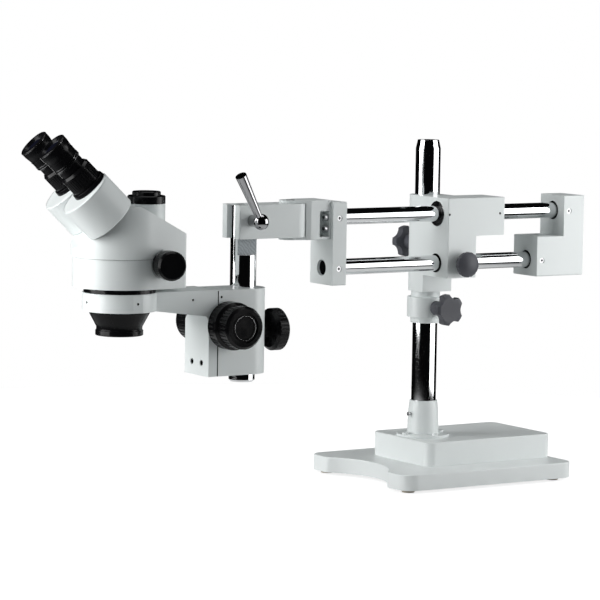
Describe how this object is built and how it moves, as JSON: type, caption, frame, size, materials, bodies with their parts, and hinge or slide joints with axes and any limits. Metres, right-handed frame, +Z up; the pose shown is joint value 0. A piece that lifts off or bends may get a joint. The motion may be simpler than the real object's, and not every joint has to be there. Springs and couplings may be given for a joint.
{
  "type": "stereo microscope on a double-arm boom stand",
  "caption": "Trinocular zoom stereo microscope held out over the bench on a sliding twin-rod boom, with a rack focus holder, a swinging arm, a pillar and a heavy flat base.",
  "frame": {"origin": "under the middle of the whole object, at the level of the table that the feet rest on", "axes": "+Z up the pillar, -X along the boom towards the microscope head, -Y towards the rods' side"},
  "size_m": [0.7914, 0.2504, 0.4525],
  "materials": {
    "base_enamel": "pale grey enamel on a cast base",
    "white_enamel": "white enamel on cast aluminium",
    "chromed_steel": "hard chrome, polished",
    "bright_steel": "turned steel",
    "black_oxide": "black oxide screws",
    "black_alloy": "black anodised alloy",
    "black_plastic": "moulded black plastic",
    "grey_plastic": "moulded pale grey plastic",
    "bronze": "sintered bronze",
    "beige_rubber": "soft feet",
    "coated_glass": "coated optical glass"
  },
  "bodies": {
    "base": {"base_casting": "base_enamel", "rubber_feet": "beige_rubber", "pillar": "chromed_steel", "pillar_bolt": "black_oxide", "pillar_sleeve": "white_enamel", "flange_screws": "black_oxide", "sleeve_screw": "black_oxide"},
    "collar": {"stop_collar": "white_enamel"},
    "collar_knob": {"collar_knob": "black_plastic"},
    "carriage": {"carriage": "white_enamel", "linear_bearings": "bright_steel", "bearing_screws": "black_oxide"},
    "carriage_knob": {"carriage_knob": "black_plastic"},
    "rod_lock_knob": {"rod_lock_knob": "black_plastic"},
    "boom": {"boom_rods": "chromed_steel", "front_rod_plate": "white_enamel", "rear_rod_block": "white_enamel", "rod_set_screws": "black_oxide", "hinge_bracket": "white_enamel", "bracket_screws": "black_oxide", "hinge_pin": "chromed_steel"},
    "arm": {"swing_arm": "white_enamel"},
    "clamp_lever": {"clamp_lever": "chromed_steel"},
    "post": {"post": "chromed_steel"},
    "holder": {"focus_holder": "white_enamel", "holder_screw": "black_oxide", "focus_bushes": "bronze"},
    "holder_clamp_knob": {"holder_clamp_knob": "black_plastic"},
    "pinion": {"pinion_shaft": "bright_steel", "right_focus_knob": "black_plastic", "left_focus_knob": "black_plastic"},
    "tension_collar": {"tension_collar": "black_plastic"},
    "slide": {"dovetail_rail": "bright_steel", "focus_rack": "bright_steel", "focus_slide": "white_enamel", "slide_screws": "black_oxide", "ring_arm": "white_enamel", "ring_screws": "black_oxide"},
    "head": {"head_mount": "black_alloy", "objective_cone": "black_alloy", "objective_lens": "coated_glass", "lower_head_body": "white_enamel", "upper_head_body": "white_enamel", "camera_tube": "white_enamel", "camera_cap": "black_plastic"},
    "zoom": {"zoom_shaft": "bright_steel", "right_zoom_knob": "black_plastic", "left_zoom_knob": "black_plastic"},
    "right_tube": {"right_prism_housing": "white_enamel", "right_prism_mount": "black_alloy", "right_prism": "coated_glass", "right_eyetube": "black_alloy", "right_eyepiece": "black_alloy"},
    "left_tube": {"left_prism_housing": "white_enamel", "left_prism_mount": "black_alloy", "left_prism": "coated_glass", "left_eyetube": "black_alloy", "left_eyepiece": "black_alloy"},
    "right_diopter": {"right_diopter_ring": "black_plastic"},
    "left_diopter": {"left_diopter_ring": "black_plastic"}
  },
  "joints": [
    {"name": "collar_height", "type": "slide", "parent": "base", "child": "collar", "axis": [0, 0, 1], "range_m": [-0.095, 0.05]},
    {"name": "collar_knob_turn", "type": "hinge", "parent": "collar", "child": "collar_knob", "pos_m": [0.20272, -0.01675, 0.2219], "axis": [0, -1, 0], "range_deg": [-180, 180]},
    {"name": "carriage_yaw", "type": "hinge", "parent": "collar", "child": "carriage", "pos_m": [0.20272, 0.01325, 0.3], "axis": [0, 0, 1], "continuous": true},
    {"name": "carriage_knob_turn", "type": "hinge", "parent": "carriage", "child": "carriage_knob", "pos_m": [0.20272, 0.04325, 0.3029], "axis": [0, 1, 0], "range_deg": [-180, 180]},
    {"name": "rod_lock_turn", "type": "hinge", "parent": "carriage", "child": "rod_lock_knob", "pos_m": [0.20272, -0.07675, 0.2829], "axis": [0, -1, 0], "range_deg": [-180, 180]},
    {"name": "boom_travel", "type": "slide", "parent": "carriage", "child": "boom", "axis": [1, 0, 0], "range_m": [-0.094, 0.144]},
    {"name": "arm_swing", "type": "hinge", "parent": "boom", "child": "arm", "pos_m": [-0.04027, -0.03975, 0.344], "axis": [0, 0, 1], "range_deg": [-45, 45]},
    {"name": "clamp_lever_turn", "type": "hinge", "parent": "arm", "child": "clamp_lever", "pos_m": [-0.10727, -0.03975, 0.3454], "axis": [0, -1, 0], "range_deg": [-45, 90]},
    {"name": "post_height", "type": "slide", "parent": "arm", "child": "post", "axis": [0, 0, 1], "range_m": [-0.008, 0.025]},
    {"name": "holder_swing", "type": "hinge", "parent": "post", "child": "holder", "pos_m": [-0.10727, -0.03975, 0.211], "axis": [0, 0, -1], "range_deg": [-90, 90]},
    {"name": "holder_clamp_turn", "type": "hinge", "parent": "holder", "child": "holder_clamp_knob", "pos_m": [-0.07228, -0.03975, 0.2097], "axis": [1, 0, 0], "range_deg": [-180, 180]},
    {"name": "focus_turn", "type": "hinge", "parent": "holder", "child": "pinion", "pos_m": [-0.14527, -0.03975, 0.221], "axis": [0, 1, 0], "range_deg": [-180, 180]},
    {"name": "focus_travel", "type": "slide", "parent": "holder", "child": "slide", "axis": [0, 0, 1], "range_m": [-0.02513, 0.02513]},
    {"name": "tension_turn", "type": "hinge", "parent": "holder", "child": "tension_collar", "pos_m": [-0.14527, -0.07675, 0.221], "axis": [0, -1, 0], "range_deg": [-20, 20]},
    {"name": "head_turn", "type": "hinge", "parent": "slide", "child": "head", "pos_m": [-0.27977, -0.03975, 0.2642], "axis": [0, 0, 1], "continuous": true},
    {"name": "zoom_turn", "type": "hinge", "parent": "head", "child": "zoom", "pos_m": [-0.24058, -0.04772, 0.3002], "axis": [-0.1994, -0.9799, 0], "range_deg": [-150, 150]},
    {"name": "right_tube_swivel", "type": "hinge", "parent": "head", "child": "right_tube", "pos_m": [-0.31688, -0.06843, 0.34555], "axis": [-0.6929, 0.141, 0.7071], "range_deg": [-10, 10]},
    {"name": "left_tube_swivel", "type": "hinge", "parent": "head", "child": "left_tube", "pos_m": [-0.30273, 0.00115, 0.34555], "axis": [-0.6929, 0.141, 0.7071], "range_deg": [-10, 10]},
    {"name": "right_diopter_turn", "type": "hinge", "parent": "right_tube", "child": "right_diopter", "pos_m": [-0.34522, -0.06266, 0.40148], "axis": [-0.6929, 0.141, 0.7071], "range_deg": [-150, 150]},
    {"name": "left_diopter_turn", "type": "hinge", "parent": "left_tube", "child": "left_diopter", "pos_m": [-0.33107, 0.00691, 0.40148], "axis": [-0.6929, 0.141, 0.7071], "range_deg": [-150, 150]}
  ],
  "couplings": [
    {"joint": "focus_turn", "follows": "focus_travel", "rad_per_m": 125},
    {"joint": "left_tube_swivel", "follows": "right_tube_swivel", "ratio": -1}
  ]
}
